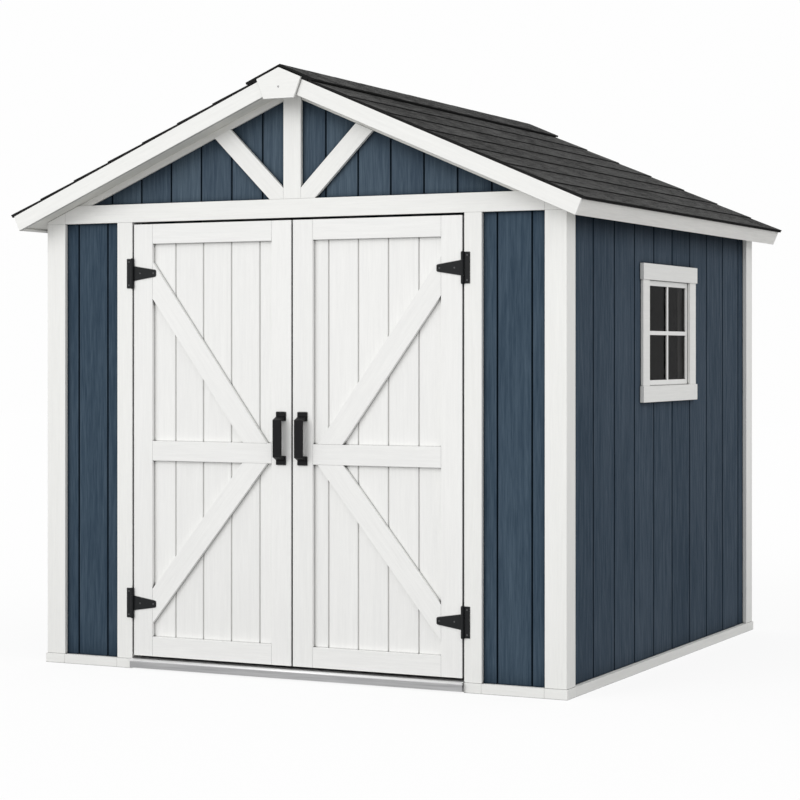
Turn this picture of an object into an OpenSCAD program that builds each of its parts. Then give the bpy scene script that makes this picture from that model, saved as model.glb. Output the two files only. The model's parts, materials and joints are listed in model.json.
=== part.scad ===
// Gabled garden shed with a pair of K-braced doors, one side window and a shingled roof.
// Millimetres, +Z up. The origin is on the ground at the centre of the footprint, the doors face -Y.

/* [Building] */
// Width over the corner posts
shed_w = 2440; // [2100:10:3600]
// Depth over the corner posts
shed_d = 2440; // [1900:10:4200]
// Thickness of a wall panel
wall_t = 40; // [24:1:60]
// Height of the floor panel and of the base trim around it
base_h = 40; // [34:1:80]
// Underside of the tie beams, which is also the top of the walls
beam_z = 1912; // [1700:1:2300]
// Height of a tie beam
beam_h = 78; // [50:1:120]
// How far the trim stands out from the siding
trim_t = 18; // [12:1:30]
// Face width of a corner post
post_w = 93; // [70:1:140]
// How far the base trim stands out from the posts
base_proud = 5; // [0:1:15]

/* [Siding] */
// Board width on the front, the back and the gables
front_board_w = 149; // [90:1:250]
// Board width on the two sides
side_board_w = 242; // [120:1:300]
// Width of the groove between two boards
groove_w = 8; // [3:0.5:14]
// Width of the groove between two of the wider side boards
side_groove_w = 12; // [3:0.5:16]
// Depth of the groove between two boards
groove_d = 6; // [2:0.5:10]

/* [Roof] */
// Slope of the roof in degrees
roof_pitch = 23.2; // [15:0.1:35]
// Height of the roof line above the tie beam's underside, over the post's outer face
heel_h = 77; // [70:1:160]
// Reach of the roof line past the posts at the eaves
eave_reach = 103; // [60:1:250]
// Reach of the bargeboards past the posts at the gables
rake_reach = 105; // [60:1:250]
// Thickness of the roof deck
deck_t = 18; // [10:1:30]
// Width of the bargeboards and of the eave fascias, across the slope
barge_w = 68; // [60:1:140]
// Thickness of the soffit boards
soffit_t = 10; // [5:1:16]
// How far the soffit sits above the lower edge of the bargeboards
soffit_up = 7; // [0:1:15]
// Width of the frieze strip under the gable soffit
frieze_w = 27; // [15:1:60]
// Thickness of the frieze strip
frieze_t = 12; // [5:1:16]
// Reach of the shingles past the eave
shingle_reach = 13; // [5:1:30]
// Exposed length of the first course, at the eave
eave_course = 168; // [60:1:260]
// Exposed length of every other course
shingle_exposure = 188; // [120:1:260]
// Thickness of a course at its lower edge
shingle_butt = 13; // [11:0.5:20]
// Thickness of a course at its upper edge
shingle_head = 9; // [2:0.5:10]
// Half width of the ridge cap, along the slope
cap_half = 166; // [100:1:250]
// Thickness of the ridge cap
cap_t = 9; // [5:0.5:16]
// Number of roof trusses between the gables
truss_count = 3; // [1:1:6]
// Thickness of a truss along the ridge
truss_t = 40; // [30:1:60]
// Depth of a rafter across the slope
rafter_h = 60; // [45:1:90]
// Height of the gusset under a truss's peak
gusset_h = 150; // [90:1:260]

/* [Gable trim] */
// Width of the king post
king_w = 82; // [50:1:140]
// Width of a gable brace
gable_brace_w = 78; // [40:1:120]
// Angle of a gable brace from level
gable_brace_angle = 45; // [35:1:60]
// Height of a brace's upper edge above the tie beam, at the king post
gable_brace_rise = 45; // [0:1:120]
// Half width of the peak plate at its shoulders
peak_shoulder = 103; // [70:1:150]
// Half width of the peak plate at its foot
peak_foot = 71; // [50:1:120]
// How far the peak plate stands above the boards' upper edges
peak_rise = 8; // [0:1:12]
// Drop from the boards' peak to the foot of the plate
peak_h = 118; // [90:1:200]
// Thickness of the peak plate
peak_t = 12; // [5:1:20]
// Drop from the boards' peak to the recess for the plate's screw
sink_drop = 71; // [40:1:85]
// Radius of the recess
sink_r = 4.5; // [3:0.5:7]
// Depth of the recess
sink_t = 2; // [1:0.5:4]

/* [Doorway] */
// Distance from the centre line to each hinge axis
hinge_x = 777; // [640:1:850]
// Gap round a door leaf at the jambs
jamb_gap = 9; // [8:0.5:14]
// Gap between the two door leaves
meeting_gap = 8; // [7.5:0.5:14]
// Gap under the tie beam
head_gap = 10; // [6:0.5:14]
// Gap over the threshold
sill_gap = 10; // [6:0.5:14]
// Face width of a door jamb
jamb_w = 76; // [50:1:110]
// Reach of the door stop past the jamb
stop_w = 12; // [6:1:20]
// Gap between the back of a door and its stop
stop_gap = 6; // [5.5:0.5:10]
// Reach of the threshold in front of the posts
sill_reach = 20; // [10:1:40]
// Height of the threshold's nose above the ground
sill_nose_z = 38; // [25:1:60]
// Clearance under the threshold's nose
sill_lift = 5; // [3:1:15]
// Thickness of the threshold's plate over the floor
sill_plate = 6; // [3:0.5:10]
// Thickness of the threshold's walls
sill_wall = 3; // [2:0.5:5]

/* [Doors] */
// Thickness of the planked door panel
panel_t = 22; // [14:1:30]
// Width of a door stile
stile_w = 93; // [60:1:120]
// Height of the top and bottom rails
rail_h = 84; // [50:1:120]
// Height of the middle rail
mid_rail_h = 84; // [50:1:120]
// Centre of the middle rail above the ground
mid_rail_z = 934; // [700:1:1200]
// Plank width on the doors
door_board_w = 137; // [90:1:200]
// First plank joint, from the hinge edge of the leaf
door_board_first = 199; // [120:1:260]
// Width of a door brace
door_brace_w = 93; // [50:1:110]
// Distance from the meeting stile to the brace, along the middle rail
brace_foot = 22; // [0:1:60]
// Distance from the top rail to the upper brace, along the hinge stile
upper_brace_head = 78; // [0:1:150]
// Distance from the bottom rail to the lower brace, along the hinge stile
lower_brace_head = 57; // [0:1:150]

/* [Hinges] */
// Height of the upper hinges' centre
upper_hinge_z = 1692; // [1400:1:1800]
// Height of the lower hinges' centre
lower_hinge_z = 280; // [180:1:500]
// Height of the jamb leaf and the barrel
hinge_h = 126; // [90:1:180]
// Width of the jamb leaf, from the axis
leaf_w = 30; // [20:1:50]
// Thickness of the hinge plates
plate_t = 3; // [2:0.5:5]
// Radius of the barrel
barrel_r = 6.5; // [5:0.5:9]
// Radius of the pin
pin_r = 3.2; // [2:0.1:4]
// Radial clearance of the pin in the barrel
pin_fit = 0.06; // [0.03:0.01:0.1]
// Gap between two knuckles
knuckle_gap = 0.8; // [0.4:0.1:2]
// Height of the strap at the barrel
strap_root_h = 64; // [40:1:90]
// Height of the strap at its tip
strap_tip_h = 29; // [14:1:40]
// Length of the strap, from the axis
strap_l = 116; // [80:1:160]
// Size of the cut corners at the strap's tip
strap_corner = 4; // [2:0.5:8]
// Radius of the pin's heads
head_r = 5; // [4:0.5:6]
// Thickness of the pin's heads
head_t = 2; // [1:0.5:4]

/* [Handles] */
// Height of a handle's centre
handle_z = 998; // [800:1:1200]
// Overall height of a handle
handle_h = 220; // [150:1:300]
// Width of a handle's feet
foot_w = 45; // [30:1:60]
// Height of a handle's feet
foot_h = 37; // [25:1:50]
// Thickness of a handle's feet
foot_t = 7; // [4:1:12]
// Width of the grip
grip_w = 38; // [20:1:50]
// Thickness of the grip
grip_t = 12; // [8:1:20]
// How far the grip stands out from the door
grip_out = 42; // [32:1:60]
// Height of the plain part of a foot beyond the arm
foot_lip = 17; // [5:1:22]
// Height of the arm where it meets the grip's outer face
arm_tip = 4; // [2:0.5:8]

/* [Window] */
// Centre of the window, from the front
window_from_front = 1243; // [900:1:2400]
// Underside of the window's sill board
window_z = 1140; // [900:1:1300]
// Length of the head and sill boards
window_w = 716; // [400:1:900]
// Overall height of the window trim
window_h = 596; // [400:1:620]
// Height of the head and sill boards
head_board_h = 70; // [40:1:110]
// Reach of the head and sill boards past the side casings
head_board_over = 8; // [0:1:30]
// Width of a side casing
casing_w = 82; // [40:1:110]
// Thickness of a side casing
casing_t = 13; // [8:1:18]
// Face width of the sash
sash_w = 24; // [18:1:50]
// Depth of the sash frame, which lines the hole in the wall
sash_t = 40; // [30:1:70]
// Width of the glazing bars
bar_w = 18; // [12:1:35]
// Thickness of the glass
glass_t = 4; // [3:1:8]
// Distance from the sash's outer face to the glass
glass_recess = 8; // [4:1:12]

/* [Hidden] */
$fn = 48;

// colours
white = [0.94, 0.94, 0.93];
shade_white = [0.86, 0.86, 0.84];
navy = [0.24, 0.31, 0.38];
charcoal = [0.2, 0.2, 0.21];
black = [0.1, 0.1, 0.11];
alloy = [0.68, 0.69, 0.7];
grey = [0.55, 0.56, 0.56];
tint = [0.2, 0.2, 0.19, 0.5];

// outer planes
half_w = shed_w / 2;
half_d = shed_d / 2;
front_y = -half_d;
siding_x = half_w - trim_t;
siding_d = half_d - trim_t;
shell_t = trim_t + wall_t;
post_x = half_w - post_w;
post_y = half_d - post_w;
margin = 1;

// roof, measured down the slope (u) and square to it (v, positive below the roof line)
rise = tan(roof_pitch);
ridge_z = beam_z + heel_h + rise * half_w;
tip_x = half_w + eave_reach;
tip_u = tip_x / cos(roof_pitch);
rake_y = half_d + rake_reach;
fascia_u = tip_u - trim_t;
soffit_v = barge_w - soffit_up;
mitre_gap = 0.3;
// clearance between two pieces that meet on a slope
seat_fit = 0.02;
deck_u = fascia_u - seat_fit;
under_deck = deck_t + seat_fit;
under_soffit = soffit_v + seat_fit;
frieze_v = under_soffit + frieze_w;
roof_far = tip_x + barge_w;

function slope_z(x, v) = ridge_z - rise * abs(x) - v / cos(roof_pitch);
function slope_at(x, v) = [x, slope_z(x, v)];
function slope_x(z, v) = (ridge_z - v / cos(roof_pitch) - z) / rise;
function slope_pt(u, v) = [u * cos(roof_pitch) - v * sin(roof_pitch),
    ridge_z - u * sin(roof_pitch) - v * cos(roof_pitch)];

// doorway
leaf_edge = hinge_x - jamb_gap / 2;
jamb_x = hinge_x + jamb_gap / 2;
jamb_end = jamb_x + jamb_w;
sill_top = base_h + sill_plate;
door_z0 = sill_top + sill_gap;
door_z1 = beam_z - head_gap;
meeting_x = meeting_gap / 2;
door_t = panel_t + trim_t;
stop_y = door_t + stop_gap;
hinge_stile_x = leaf_edge - stile_w;
meeting_stile_x = meeting_x + stile_w;
rail_top = door_z1 - rail_h;
rail_bottom = door_z0 + rail_h;
mid_top = mid_rail_z + mid_rail_h / 2;
mid_bottom = mid_rail_z - mid_rail_h / 2;

// hinges
hinge_y = front_y - barrel_r - 0.5;
bore_r = pin_r + pin_fit;
plate_x = hinge_x + barrel_r + 1;
hinge_heights = [upper_hinge_z, lower_hinge_z];

// window, on the right wall
window_y = front_y + window_from_front;
window_mid_z = window_z + window_h / 2;
hole_w = window_w - 2 * head_board_over - 2 * casing_w;
hole_h = window_h - 2 * head_board_h;
pane_w = hole_w - 2 * sash_w;
pane_h = hole_h - 2 * sash_w;
sash_x = siding_x - sash_t;
glass_x = siding_x - glass_recess - glass_t;

// a flat board: an outline in the X-Z plane, from y0 back to y1
module board(points, y0, y1) {
    translate([0, y1, 0])
        rotate([90, 0, 0])
            linear_extrude(y1 - y0)
                polygon(points);
}

module both_sides() {
    children();
    mirror([1, 0, 0]) children();
}

module both_ends() {
    children();
    mirror([0, 1, 0]) children();
}

// everything below the roof line, v below it
module under_slope(v) {
    board([[-roof_far, 0], [roof_far, 0], slope_at(roof_far, v), slope_at(0, v), slope_at(-roof_far, v)],
        -rake_y, rake_y);
}

// a siding panel, its grooved outer face on the plane y = 0 and its back at y = wall_t
module siding(x0, x1, z0, z1, joints, joint_w = groove_w) {
    grooves = [for (x = joints) each [[x - joint_w / 2, 0], [x, groove_d], [x + joint_w / 2, 0]]];
    translate([0, 0, z0])
        linear_extrude(z1 - z0)
            polygon(concat([[x0, wall_t], [x0, 0]], grooves, [[x1, 0], [x1, wall_t]]));
}

// joints centred on the middle, as many as fit between the posts
function centred_joints(half, board_w) =
    [for (i = [-ceil(half / board_w) : ceil(half / board_w)])
        if (abs(i * board_w) < half - groove_w) i * board_w];

// joints counted from the front post
function counted_joints(board_w) =
    [for (i = [1 : ceil(2 * post_y / board_w)])
        if (i * board_w < 2 * post_y - side_groove_w) -post_y + i * board_w];

module floor() {
    color(grey)
        translate([-siding_x, -siding_d, 0])
            cube([2 * siding_x, 2 * siding_d, base_h]);
}

base_t = trim_t + base_proud;

module baseboards() {
    color(white) {
        both_sides() {
            translate([jamb_end, front_y - base_proud, 0])
                cube([post_x - jamb_end, base_t, base_h]);
            translate([siding_x, -post_y, 0])
                cube([base_t, 2 * post_y, base_h]);
        }
        translate([-post_x, siding_d, 0])
            cube([2 * post_x, base_t, base_h]);
    }
}

module base_blocks() {
    color(white) {
        both_sides() {
            both_ends()
                linear_extrude(base_h)
                    difference() {
                        translate([post_x, post_y])
                            square(post_w + base_proud);
                        translate([post_x - margin, post_y - margin])
                            square(siding_x - post_x + margin);
                    }
            translate([jamb_x, front_y - base_proud, 0])
                cube([jamb_w, base_t, base_h]);
        }
    }
}

// angled post that wraps a corner, cut from z0 up to z1
module post_section(z0, z1, inset) {
    translate([0, 0, z0])
        linear_extrude(z1 - z0)
            difference() {
                translate([post_x, post_y])
                    square([post_w - inset, post_w - inset]);
                translate([post_x - margin, post_y - margin])
                    square(post_w - shell_t + margin);
            }
}

module corner_posts() {
    color(white)
        both_sides()
            both_ends()
                intersection() {
                    post_section(base_h, beam_z, 0);
                    under_slope(under_soffit);
                }
}

// the posts' heads: the trim part stops under the soffit, the part in the wall runs up to the deck
module post_heads() {
    color(white)
        both_sides()
            both_ends() {
                intersection() {
                    post_section(beam_z, ridge_z, 0);
                    under_slope(under_soffit);
                }
                intersection() {
                    post_section(beam_z, ridge_z, trim_t);
                    under_slope(under_deck);
                }
            }
}

module door_jambs() {
    color(white)
        both_sides()
            translate([0, front_y, base_h])
                linear_extrude(beam_z - base_h)
                    polygon([[jamb_x, 0], [jamb_end, 0], [jamb_end, shell_t], [jamb_x - stop_w, shell_t],
                        [jamb_x - stop_w, stop_y], [jamb_x, stop_y]]);
}

module threshold() {
    color(alloy)
        rotate([90, 0, 90])
            translate([0, 0, -jamb_x])
                linear_extrude(2 * jamb_x)
                    translate([front_y, 0])
                        difference() {
                            polygon([[-sill_reach, sill_lift], [trim_t, sill_lift], [trim_t, base_h],
                                [stop_y, base_h], [stop_y, sill_top], [0, sill_top],
                                [-sill_reach, sill_nose_z]]);
                            polygon([[sill_wall - sill_reach, sill_lift - margin],
                                [trim_t - sill_wall, sill_lift - margin],
                                [trim_t - sill_wall, base_h], [0, base_h],
                                [sill_wall - sill_reach, sill_nose_z - sill_wall]]);
                        }
}

module front_walls() {
    middle = (jamb_end + post_x) / 2;
    joints = [middle - front_board_w / 2, middle + front_board_w / 2];
    color(navy)
        both_sides()
            translate([0, -siding_d, 0])
                siding(jamb_end, post_x, base_h, beam_z, [for (x = joints) if (x < post_x - groove_w) x]);
}

module back_wall() {
    color(navy)
        rotate(180)
            translate([0, -siding_d, 0])
                siding(-post_x, post_x, base_h, beam_z, centred_joints(post_x, front_board_w));
}

module side_wall() {
    intersection() {
        translate([siding_x, 0, 0])
            rotate(90)
                siding(-post_y, post_y, base_h, ridge_z, counted_joints(side_board_w), side_groove_w);
        under_slope(under_deck);
    }
}

module left_wall() {
    color(navy)
        mirror([1, 0, 0])
            side_wall();
}

module right_wall() {
    color(navy)
        difference() {
            side_wall();
            window_box(hole_w, hole_h, siding_x - wall_t - margin, siding_x + margin);
        }
}

module gable() {
    intersection() {
        translate([0, -siding_d, 0])
            siding(-post_x, post_x, beam_z, ridge_z, centred_joints(post_x, front_board_w));
        under_slope(under_deck);
    }
}

module front_gable() {
    color(navy) gable();
}

module back_gable() {
    color(navy)
        rotate(180)
            gable();
}

module tie_beams() {
    color(white)
        both_ends()
            intersection() {
                translate([-post_x, front_y, beam_z])
                    cube([2 * post_x, trim_t, beam_h]);
                under_slope(under_soffit);
            }
}

beam_top = beam_z + beam_h;

module king_post() {
    half = king_w / 2;
    color(white)
        board([[-half, beam_top], [half, beam_top], slope_at(half, under_soffit),
            slope_at(0, under_soffit), slope_at(-half, under_soffit)], front_y, -siding_d);
}

// each brace runs up and out from the king post to the frieze strip
module gable_braces() {
    slant = tan(gable_brace_angle);
    drop = gable_brace_w / cos(gable_brace_angle);
    x0 = king_w / 2;
    top_z = beam_top + gable_brace_rise;
    brace_v = frieze_v + seat_fit;
    frieze_z = slope_z(0, brace_v);
    upper_x = (frieze_z - top_z + slant * x0) / (slant + rise);
    lower_x = (frieze_z - top_z + drop + slant * x0) / (slant + rise);
    foot_x = x0 + (drop - gable_brace_rise) / slant;
    color(white)
        both_sides()
            board([[x0, beam_top], [foot_x, beam_top], slope_at(lower_x, brace_v),
                slope_at(upper_x, brace_v), [x0, top_z]], front_y, -siding_d);
}

// a frieze strip from x0 down to the tie beam
module frieze(x0) {
    board([slope_at(x0, under_soffit), [slope_x(beam_top, under_soffit), beam_top],
        [slope_x(beam_top, frieze_v), beam_top], slope_at(x0, frieze_v)],
        -siding_d - frieze_t, -siding_d);
}

module gable_friezes() {
    color(white) {
        both_sides()
            frieze(king_w / 2);
        mirror([0, 1, 0])
            both_sides()
                frieze(mitre_gap);
    }
}

module right_bargeboards() {
    color(white)
        both_ends()
            board([[0, ridge_z], slope_pt(tip_u, 0), slope_pt(tip_u, barge_w), slope_at(0, barge_w)],
                -rake_y, trim_t - rake_y);
}

module left_bargeboards() {
    mirror([1, 0, 0]) right_bargeboards();
}

module peak_plates() {
    color(white)
        both_ends()
            difference() {
                board([slope_at(0, -peak_rise), slope_at(peak_shoulder, -peak_rise),
                    [peak_foot, ridge_z - peak_h], [-peak_foot, ridge_z - peak_h],
                    slope_at(-peak_shoulder, -peak_rise)], -rake_y - peak_t, -rake_y);
                translate([0, sink_t - rake_y - peak_t, ridge_z - sink_drop])
                    rotate([90, 0, 0])
                        cylinder(h = sink_t + margin, r = sink_r);
            }
}

module eave_fascias() {
    color(shade_white)
        both_sides()
            board([slope_pt(fascia_u, 0), slope_pt(tip_u, 0), slope_pt(tip_u, barge_w),
                slope_pt(fascia_u, barge_w)], trim_t - rake_y, rake_y - trim_t);
}

// a soffit strip seen end on, from x0 out to the fascia
module soffit(x0, y0, y1) {
    board([slope_at(x0, soffit_v - soffit_t), slope_pt(deck_u, soffit_v - soffit_t),
        slope_pt(deck_u, soffit_v), slope_at(x0, soffit_v)], y0, y1);
}

module eave_soffits() {
    color(shade_white)
        both_sides()
            soffit(siding_x, -siding_d, siding_d);
}

module gable_soffits() {
    color(shade_white)
        both_sides()
            both_ends()
                soffit(mitre_gap, trim_t - rake_y, -siding_d);
}

module right_roof_deck() {
    color(grey)
        board([[0, ridge_z], slope_pt(deck_u, 0), slope_pt(deck_u, deck_t), slope_at(0, deck_t)],
            trim_t - rake_y, rake_y - trim_t);
}

module left_roof_deck() {
    mirror([1, 0, 0]) right_roof_deck();
}

module roof_trusses() {
    inner_x = half_w - shell_t;
    low_v = deck_t + rafter_h;
    gusset_z = slope_z(0, low_v) - gusset_h;
    gusset_x = slope_x(gusset_z, low_v);
    spacing = 2 * siding_d / (truss_count + 1);
    color(grey)
        for (i = [1 : truss_count])
            translate([0, -siding_d + i * spacing, 0])
                board([slope_at(0, under_deck), slope_at(inner_x, under_deck), slope_at(inner_x, low_v),
                    [gusset_x, gusset_z], [-gusset_x, gusset_z], slope_at(-inner_x, low_v),
                    slope_at(-inner_x, under_deck)], -truss_t / 2, truss_t / 2);
}

// lower edges of the courses, from the one nearest the ridge down to the eave
shingle_end = tip_u + shingle_reach;
course_count = floor((shingle_end - eave_course) / shingle_exposure);
butts = concat([for (i = [course_count : -1 : 0]) shingle_end - eave_course - i * shingle_exposure],
    [shingle_end]);

module right_shingles() {
    steps = [for (i = [0 : len(butts) - 1]) each
        [slope_pt(butts[i], -shingle_butt),
         slope_pt(butts[i], i < len(butts) - 1 ? -shingle_head : -seat_fit)]];
    color(charcoal)
        board(concat([slope_at(0, -seat_fit), slope_at(0, -shingle_head)], steps), -rake_y, rake_y);
}

module left_shingles() {
    mirror([1, 0, 0]) right_shingles();
}

module ridge_cap() {
    low = -shingle_butt - seat_fit;
    high = -shingle_butt - cap_t;
    edge_low = slope_pt(cap_half, low);
    edge_high = slope_pt(cap_half, high);
    color(charcoal)
        board([[-edge_low[0], edge_low[1]], slope_at(0, low), edge_low, edge_high, slope_at(0, high),
            [-edge_high[0], edge_high[1]]], -rake_y, rake_y);
}

// a box centred on the window, between two planes of constant x
module window_box(w, h, x0, x1) {
    translate([x0, window_y - w / 2, window_mid_z - h / 2])
        cube([x1 - x0, w, h]);
}

module window_casing() {
    board_z = window_h / 2 - head_board_h / 2;
    side_y = hole_w / 2 + casing_w / 2;
    color(white) {
        for (side = [-1, 1])
            translate([0, 0, side * board_z])
                window_box(window_w, head_board_h, siding_x, siding_x + trim_t);
        for (side = [-1, 1])
            translate([0, side * side_y, 0])
                window_box(casing_w, hole_h, siding_x, siding_x + casing_t);
    }
}

module window_sash() {
    color(white) {
        difference() {
            window_box(hole_w, hole_h, sash_x, siding_x);
            window_box(pane_w, pane_h, sash_x - margin, siding_x + margin);
        }
        window_box(bar_w, pane_h, glass_x + glass_t, siding_x);
        window_box(pane_w, bar_w, glass_x + glass_t, siding_x);
    }
}

module window_glass() {
    color(tint)
        window_box(pane_w, pane_h, glass_x, glass_x + glass_t);
}

// one hinge's parts: a knuckle runs from z0 to z1 on the axis at the origin
module knuckle(z0, z1) {
    translate([0, 0, z0])
        cylinder(h = z1 - z0, r = barrel_r);
}

module pin_bore() {
    translate([0, 0, -hinge_h])
        cylinder(h = 2 * hinge_h, r = bore_r);
}

// puts a part made round the hinge axis at both heights on the right side
module at_hinges() {
    for (z = hinge_heights)
        translate([hinge_x, hinge_y, z])
            children();
}

plate_y = front_y - plate_t - hinge_y;

module jamb_leaf() {
    half_h = hinge_h / 2;
    clear_h = strap_root_h / 2 + knuckle_gap;
    difference() {
        union() {
            translate([plate_x - hinge_x, plate_y, -half_h])
                cube([leaf_w - (plate_x - hinge_x), plate_t, hinge_h]);
            for (side = [0, 1])
                mirror([0, 0, side]) {
                    knuckle(clear_h, half_h);
                    translate([0, plate_y, clear_h])
                        cube([leaf_w / 2, plate_t, half_h - clear_h]);
                }
        }
        pin_bore();
    }
}

module strap() {
    difference() {
        union() {
            knuckle(-strap_root_h / 2, strap_root_h / 2);
            board([[0, -strap_root_h / 2], [0, strap_root_h / 2],
                [strap_corner - strap_l, strap_tip_h / 2], [-strap_l, strap_tip_h / 2 - strap_corner],
                [-strap_l, strap_corner - strap_tip_h / 2], [strap_corner - strap_l, -strap_tip_h / 2]],
                plate_y, plate_y + plate_t);
        }
        pin_bore();
    }
}

module hinge_leaves() {
    color(black)
        both_sides()
            at_hinges()
                jamb_leaf();
}

module hinge_pins() {
    color(black)
        both_sides()
            at_hinges() {
                cylinder(h = hinge_h, r = pin_r, center = true);
                for (side = [0, 1])
                    mirror([0, 0, side])
                        translate([0, 0, hinge_h / 2])
                            cylinder(h = head_t, r = head_r);
            }
}

// the right leaf's pieces; the left leaf mirrors them
module door_panel() {
    joints = [for (x = [leaf_edge - door_board_first : -door_board_w : meeting_stile_x]) x];
    color(white)
        translate([0, front_y + trim_t, door_z0])
            linear_extrude(door_z1 - door_z0)
                polygon(concat([[leaf_edge, panel_t], [leaf_edge, 0]],
                    [for (x = joints) each [[x + groove_w / 2, 0], [x, groove_d], [x - groove_w / 2, 0]]],
                    [[meeting_x, 0], [meeting_x, panel_t]]));
}

module door_stiles() {
    color(white)
        for (x = [meeting_x, hinge_stile_x])
            translate([x, front_y, door_z0])
                cube([stile_w, trim_t, door_z1 - door_z0]);
}

module door_rails() {
    color(white)
        for (span = [[door_z0, rail_h], [mid_bottom, mid_rail_h], [rail_top, rail_h]])
            translate([meeting_stile_x, front_y, span[0]])
                cube([hinge_stile_x - meeting_stile_x, trim_t, span[1]]);
}

// a brace from the middle rail at z0 to the hinge stile at z1, its band lying below that edge
module door_brace(z0, z1) {
    lift = z1 - z0;
    run = hinge_stile_x - meeting_stile_x - brace_foot;
    length = norm([lift, run]);
    x0 = meeting_stile_x + brace_foot;
    board([[x0, z0], [hinge_stile_x, z1], [hinge_stile_x, z1 - door_brace_w * length / run],
        [x0 + door_brace_w * length / lift, z0]], front_y, front_y + trim_t);
}

module door_braces() {
    color(white) {
        door_brace(mid_top, rail_top - upper_brace_head);
        translate([0, 0, 2 * mid_rail_z])
            mirror([0, 0, 1])
                door_brace(mid_top, 2 * mid_rail_z - rail_bottom - lower_brace_head);
    }
}

module door_straps() {
    color(black)
        at_hinges()
            strap();
}

// a bow handle: two feet on the stile, and a grip on arms whose upper faces slope, cut from its side
module door_handle() {
    half_h = handle_h / 2;
    inner_h = half_h - foot_h;
    arm_h = half_h - foot_lip;
    grip_h = inner_h + arm_tip;
    color(black)
        translate([meeting_x + stile_w / 2, front_y, handle_z]) {
            for (side = [0, 1])
                mirror([0, 0, side])
                    translate([-foot_w / 2, -foot_t, inner_h])
                        cube([foot_w, foot_t, foot_h]);
            rotate([90, 0, -90])
                translate([0, 0, -grip_w / 2])
                    linear_extrude(grip_w)
                        difference() {
                            polygon([[0, -arm_h], [0, arm_h], [foot_t, arm_h], [grip_out, grip_h],
                                [grip_out, -grip_h], [foot_t, -arm_h]]);
                            translate([-margin, -inner_h])
                                square([grip_out - grip_t + margin, 2 * inner_h]);
                        }
        }
}

module right_door_panel() { door_panel(); }
module right_door_stiles() { door_stiles(); }
module right_door_rails() { door_rails(); }
module right_door_braces() { door_braces(); }
module right_door_straps() { door_straps(); }
module right_door_handle() { door_handle(); }
module left_door_panel() { mirror([1, 0, 0]) door_panel(); }
module left_door_stiles() { mirror([1, 0, 0]) door_stiles(); }
module left_door_rails() { mirror([1, 0, 0]) door_rails(); }
module left_door_braces() { mirror([1, 0, 0]) door_braces(); }
module left_door_straps() { mirror([1, 0, 0]) door_straps(); }
module left_door_handle() { mirror([1, 0, 0]) door_handle(); }

floor();
baseboards();
base_blocks();
threshold();
corner_posts();
post_heads();
door_jambs();
front_walls();
back_wall();
left_wall();
right_wall();
front_gable();
back_gable();
tie_beams();
king_post();
gable_braces();
gable_friezes();
left_bargeboards();
right_bargeboards();
peak_plates();
eave_fascias();
eave_soffits();
gable_soffits();
left_roof_deck();
right_roof_deck();
roof_trusses();
left_shingles();
right_shingles();
ridge_cap();
window_casing();
window_sash();
window_glass();
hinge_leaves();
hinge_pins();
left_door_panel();
left_door_stiles();
left_door_rails();
left_door_braces();
left_door_straps();
left_door_handle();
right_door_panel();
right_door_stiles();
right_door_rails();
right_door_braces();
right_door_straps();
right_door_handle();
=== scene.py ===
# The finish of a gabled garden shed: moulded boards, shingled roof, hardware, glass and the studio.
# Metres, +Z up, the doors face -Y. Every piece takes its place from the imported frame.
import json
import math
import random
from bisect import bisect

import bmesh
import bpy
from mathutils import Matrix, Vector


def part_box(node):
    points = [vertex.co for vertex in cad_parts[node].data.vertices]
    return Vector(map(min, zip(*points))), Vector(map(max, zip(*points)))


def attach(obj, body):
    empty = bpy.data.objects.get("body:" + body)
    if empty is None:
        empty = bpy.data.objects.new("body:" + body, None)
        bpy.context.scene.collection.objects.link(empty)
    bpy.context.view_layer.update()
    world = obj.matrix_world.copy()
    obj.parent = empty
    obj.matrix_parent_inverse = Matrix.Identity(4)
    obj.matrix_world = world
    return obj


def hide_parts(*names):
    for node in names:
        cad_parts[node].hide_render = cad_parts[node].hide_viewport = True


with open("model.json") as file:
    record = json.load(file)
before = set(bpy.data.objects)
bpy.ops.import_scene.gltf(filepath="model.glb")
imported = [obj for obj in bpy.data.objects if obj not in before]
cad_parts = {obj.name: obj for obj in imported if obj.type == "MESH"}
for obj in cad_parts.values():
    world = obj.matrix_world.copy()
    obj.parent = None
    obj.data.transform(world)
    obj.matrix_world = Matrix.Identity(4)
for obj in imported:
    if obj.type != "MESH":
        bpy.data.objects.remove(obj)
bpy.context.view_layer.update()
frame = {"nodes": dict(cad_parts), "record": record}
nodes = frame["nodes"]
record = frame["record"]
slotOf = {part["node"]: part["material_slot"] for part in record["subparts"]}
bodyOf = {node: body for body, members in record["behaviour"]["bodies"].items() for node in members}
scene = bpy.context.scene
sideX, sideY, upZ = Vector((1, 0, 0)), Vector((0, 1, 0)), Vector((0, 0, 1))
print("frame loaded:", len(nodes), "nodes")


# small helpers
def newObject(name, data):
    thing = bpy.data.objects.new(name, data)
    scene.collection.objects.link(thing)
    return thing


def socketOf(sockets, key):
    if isinstance(key, int):
        return sockets[key]
    return next(s for s in sockets if s.name == key and s.enabled)


def addNode(tree, kind, inputs=None, **settings):
    node = tree.nodes.new(kind)
    for name, value in settings.items():
        setattr(node, name, value)
    for key, value in (inputs or {}).items():
        socket = socketOf(node.inputs, key)
        if isinstance(value, bpy.types.NodeSocket):
            tree.links.new(value, socket)
        else:
            socket.default_value = value
    return node


def maths(tree, operation, *values):
    return addNode(tree, "ShaderNodeMath", dict(enumerate(values)), operation=operation).outputs[0]


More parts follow.
